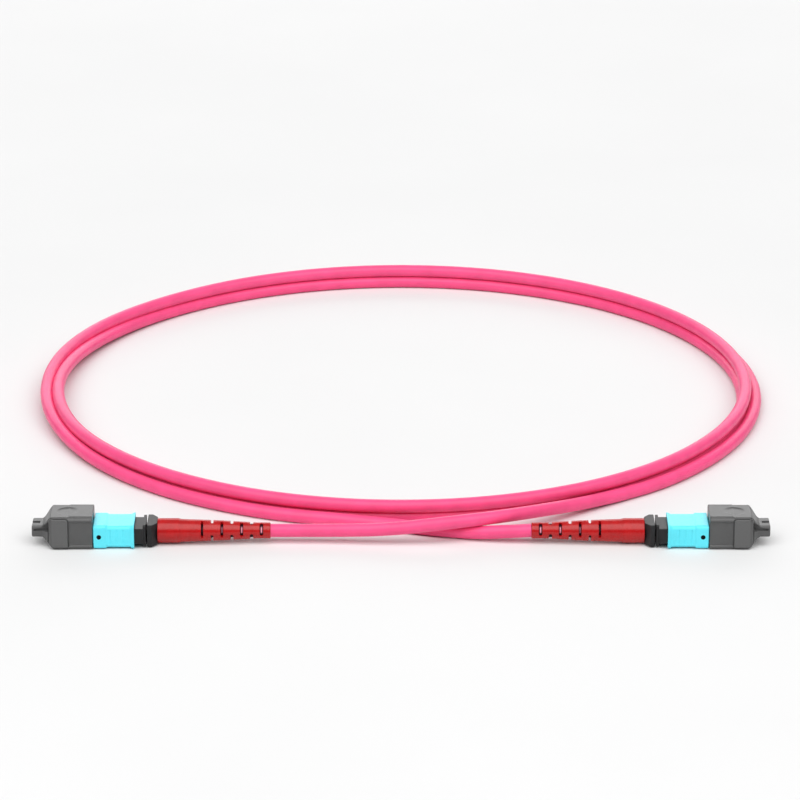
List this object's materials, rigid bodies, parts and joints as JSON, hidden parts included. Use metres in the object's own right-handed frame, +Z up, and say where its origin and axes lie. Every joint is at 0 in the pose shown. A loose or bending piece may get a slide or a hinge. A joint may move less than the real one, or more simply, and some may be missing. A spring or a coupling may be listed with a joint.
{
  "type": "fibre optic patch cable",
  "caption": "Round fibre optic patch cable in a flat coil, with a capped multi-fibre push-on plug on each end, a sliding coupling sleeve and a slotted strain relief boot.",
  "frame": {"origin": "on the floor, midway between the two plugs", "axes": "+X along the plugs towards the right-hand cap, +Y towards the coil, +Z up"},
  "size_m": [0.2444, 0.2618, 0.0106],
  "materials": {
    "jacket_pink": "satin extruded jacket",
    "boot_red": "satin moulded plastic",
    "crimp_metal": "crimped, plain",
    "yarn_yellow": "bundled yarn",
    "body_black": "fine moulded texture",
    "sleeve_aqua": "smooth moulded plastic",
    "housing_aqua": "smooth moulded plastic",
    "ferrule_dark": "filled moulding, ground end face",
    "ferrule_rubber": "soft moulded rubber",
    "clamp_black": "moulded plastic",
    "ribbon_clear": "clear coated ribbon",
    "spring_steel": "drawn wire",
    "cap_grey": "fine moulded texture"
  },
  "bodies": {
    "cable": {"cable_coil": "jacket_pink", "left_lead": "jacket_pink", "left_strain_relief_boot": "boot_red", "left_jacket_end": "jacket_pink", "left_crimp_ring": "crimp_metal", "left_strength_yarn": "yarn_yellow", "left_boot_collar": "body_black", "left_spring_push": "body_black", "left_coupling_springs": "spring_steel", "left_inner_housing": "housing_aqua", "left_ferrule_spring": "spring_steel", "right_lead": "jacket_pink", "right_strain_relief_boot": "boot_red", "right_jacket_end": "jacket_pink", "right_crimp_ring": "crimp_metal", "right_strength_yarn": "yarn_yellow", "right_boot_collar": "body_black", "right_spring_push": "body_black", "right_coupling_springs": "spring_steel", "right_inner_housing": "housing_aqua", "right_ferrule_spring": "spring_steel"},
    "left_cap": {"left_dust_cap": "cap_grey"},
    "left_sleeve": {"left_coupling_sleeve": "sleeve_aqua"},
    "left_ferrule_group": {"left_ferrule": "ferrule_dark", "left_ferrule_boot": "ferrule_rubber", "left_pin_clamp": "clamp_black", "left_fibre_ribbon": "ribbon_clear"},
    "right_cap": {"right_dust_cap": "cap_grey"},
    "right_sleeve": {"right_coupling_sleeve": "sleeve_aqua"},
    "right_ferrule_group": {"right_ferrule": "ferrule_dark", "right_ferrule_boot": "ferrule_rubber", "right_pin_clamp": "clamp_black", "right_fibre_ribbon": "ribbon_clear"}
  },
  "joints": [
    {"name": "left_cap_pull", "type": "slide", "parent": "cable", "child": "left_cap", "axis": [-1, 0, 0], "range_m": [0, 0.014]},
    {"name": "left_sleeve_slide", "type": "slide", "parent": "cable", "child": "left_sleeve", "axis": [1, 0, 0], "range_m": [0, 0.002], "stiffness_N_per_m": 800, "springref_m": -0.001, "deforming": ["left_coupling_springs"]},
    {"name": "left_ferrule_float", "type": "slide", "parent": "cable", "child": "left_ferrule_group", "axis": [1, 0, 0], "range_m": [0, 0.001], "stiffness_N_per_m": 2000, "springref_m": -0.002, "deforming": ["left_ferrule_spring"]},
    {"name": "right_cap_pull", "type": "slide", "parent": "cable", "child": "right_cap", "axis": [1, 0, 0], "range_m": [0, 0.014]},
    {"name": "right_sleeve_slide", "type": "slide", "parent": "cable", "child": "right_sleeve", "axis": [-1, 0, 0], "range_m": [0, 0.002], "stiffness_N_per_m": 800, "springref_m": -0.001, "deforming": ["right_coupling_springs"]},
    {"name": "right_ferrule_float", "type": "slide", "parent": "cable", "child": "right_ferrule_group", "axis": [-1, 0, 0], "range_m": [0, 0.001], "stiffness_N_per_m": 2000, "springref_m": -0.002, "deforming": ["right_ferrule_spring"]}
  ]
}
